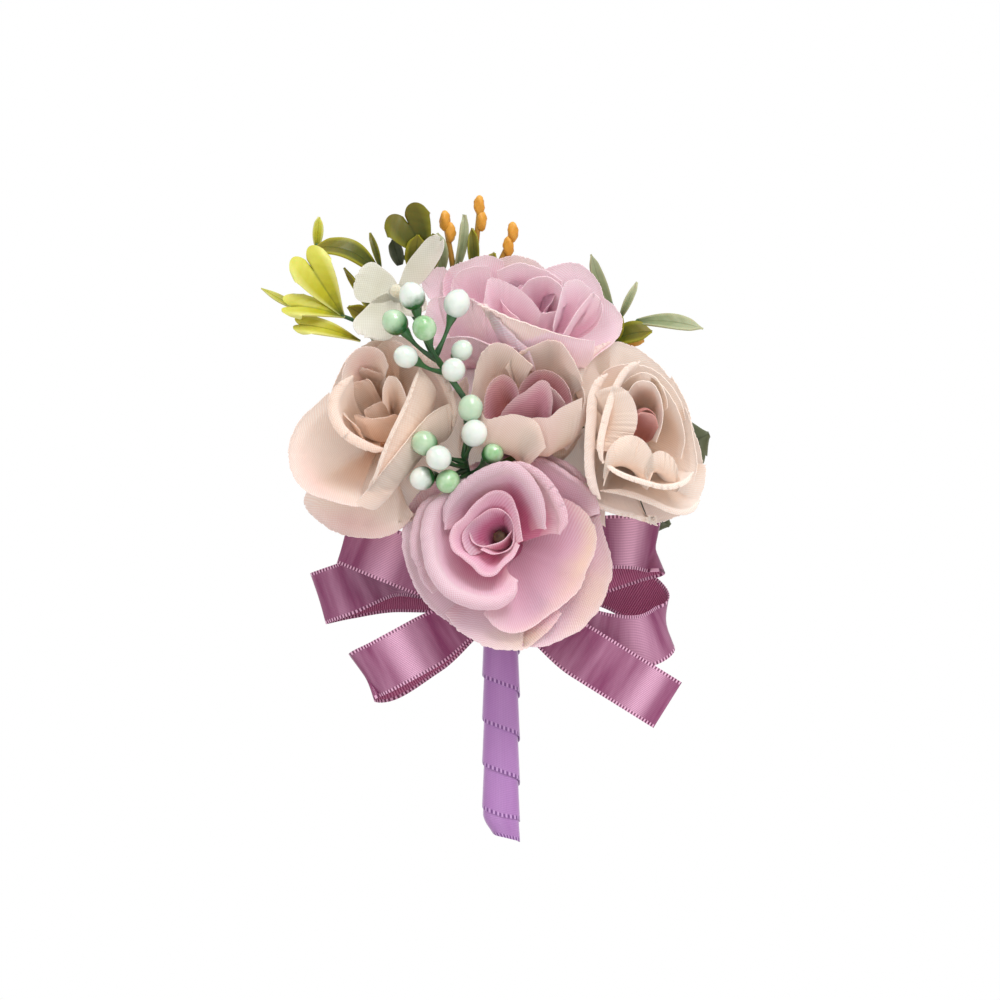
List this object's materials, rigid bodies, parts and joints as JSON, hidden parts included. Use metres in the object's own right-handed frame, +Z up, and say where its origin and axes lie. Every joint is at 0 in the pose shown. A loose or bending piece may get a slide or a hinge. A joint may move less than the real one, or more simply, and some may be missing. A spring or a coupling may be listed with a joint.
{
  "type": "pin-on flower corsage",
  "caption": "Pin-on corsage of cloth roses, moulded berries and leaves, a folded ribbon bow and a ribbon-wrapped stem, with a hinged bar pin on its back to hold it to a lapel.",
  "frame": {"origin": "middle of the rear face of the brooch bar, the face that lies against the lapel", "axes": "+Z up along the stem as worn, +X to the right seen from the front, +Y back into the lapel; the flowers face -Y"},
  "size_m": [0.0852, 0.0437, 0.1214],
  "materials": {
    "berry_paint": "moulded, gloss white over green",
    "cream_cloth": "woven artificial silk, matt",
    "dark_leaf": "stiffened printed cloth leaf",
    "dusky_cloth": "woven artificial silk, matt",
    "glue": "set hot-melt glue",
    "green_plastic": "moulded",
    "green_tape": "stretched paper floral tape",
    "lime_plastic": "moulded, painted shades",
    "mauve_satin": "satin face, ribbed back",
    "nickel": "nickel-plated steel",
    "olive_plastic": "moulded, painted shades",
    "orange_plastic": "moulded, painted tips",
    "peach_cloth": "woven artificial silk, matt",
    "pink_cloth": "woven artificial silk, matt",
    "violet_satin": "satin",
    "wire_paint": "green paper-coated florist's wire"
  },
  "bodies": {
    "bouquet": {"stem_tape": "green_tape", "stem_wrap": "violet_satin", "bow_band": "mauve_satin", "bow_ribbon": "mauve_satin", "rose_low_wire": "wire_paint", "rose_low_peg": "green_plastic", "rose_low_petals_outer": "pink_cloth", "rose_low_petals_middle": "pink_cloth", "rose_low_petals_inner": "pink_cloth", "rose_low_petals_centre": "pink_cloth", "rose_low_calyx": "green_plastic", "rosebud_wire": "wire_paint", "rosebud_peg": "green_plastic", "rosebud_petals_outer": "peach_cloth", "rosebud_petals_inner": "dusky_cloth", "rosebud_calyx": "green_plastic", "rose_left_wire": "wire_paint", "rose_left_peg": "green_plastic", "rose_left_petals_outer": "peach_cloth", "rose_left_petals_middle": "peach_cloth", "rose_left_petals_inner": "peach_cloth", "rose_left_petals_centre": "peach_cloth", "rose_left_calyx": "green_plastic", "rose_right_wire": "wire_paint", "rose_right_peg": "green_plastic", "rose_right_petals_outer": "peach_cloth", "rose_right_petals_middle": "peach_cloth", "rose_right_petals_inner": "peach_cloth", "rose_right_petals_centre": "peach_cloth", "rose_right_calyx": "green_plastic", "rose_top_wire": "wire_paint", "rose_top_peg": "green_plastic", "rose_top_petals_outer": "pink_cloth", "rose_top_petals_middle": "pink_cloth", "rose_top_petals_inner": "pink_cloth", "rose_top_petals_centre": "pink_cloth", "rose_top_calyx": "green_plastic", "blossom_wire": "wire_paint", "blossom_bead": "berry_paint", "blossom_petals": "cream_cloth", "berry_spray_upper": "berry_paint", "berry_spray_lower": "berry_paint", "sprig_left": "lime_plastic", "sprig_top": "olive_plastic", "sprig_tips": "orange_plastic", "sprig_right": "olive_plastic", "rose_leaf_spray": "dark_leaf", "brooch_glue_pad": "glue", "brooch_bar": "nickel", "brooch_rivet": "nickel"},
    "pin": {"brooch_pin": "nickel"},
    "lock": {"brooch_lock": "nickel"}
  },
  "joints": [
    {"name": "pin_hinge", "type": "hinge", "parent": "bouquet", "child": "pin", "pos_m": [0, 0.0036, 0.0125], "axis": [1, 0, 0], "range_deg": [0, 80]},
    {"name": "lock_turn", "type": "hinge", "parent": "bouquet", "child": "lock", "pos_m": [0, 0.0036, -0.0126], "axis": [0, 0, 1], "range_deg": [0, 100]}
  ]
}
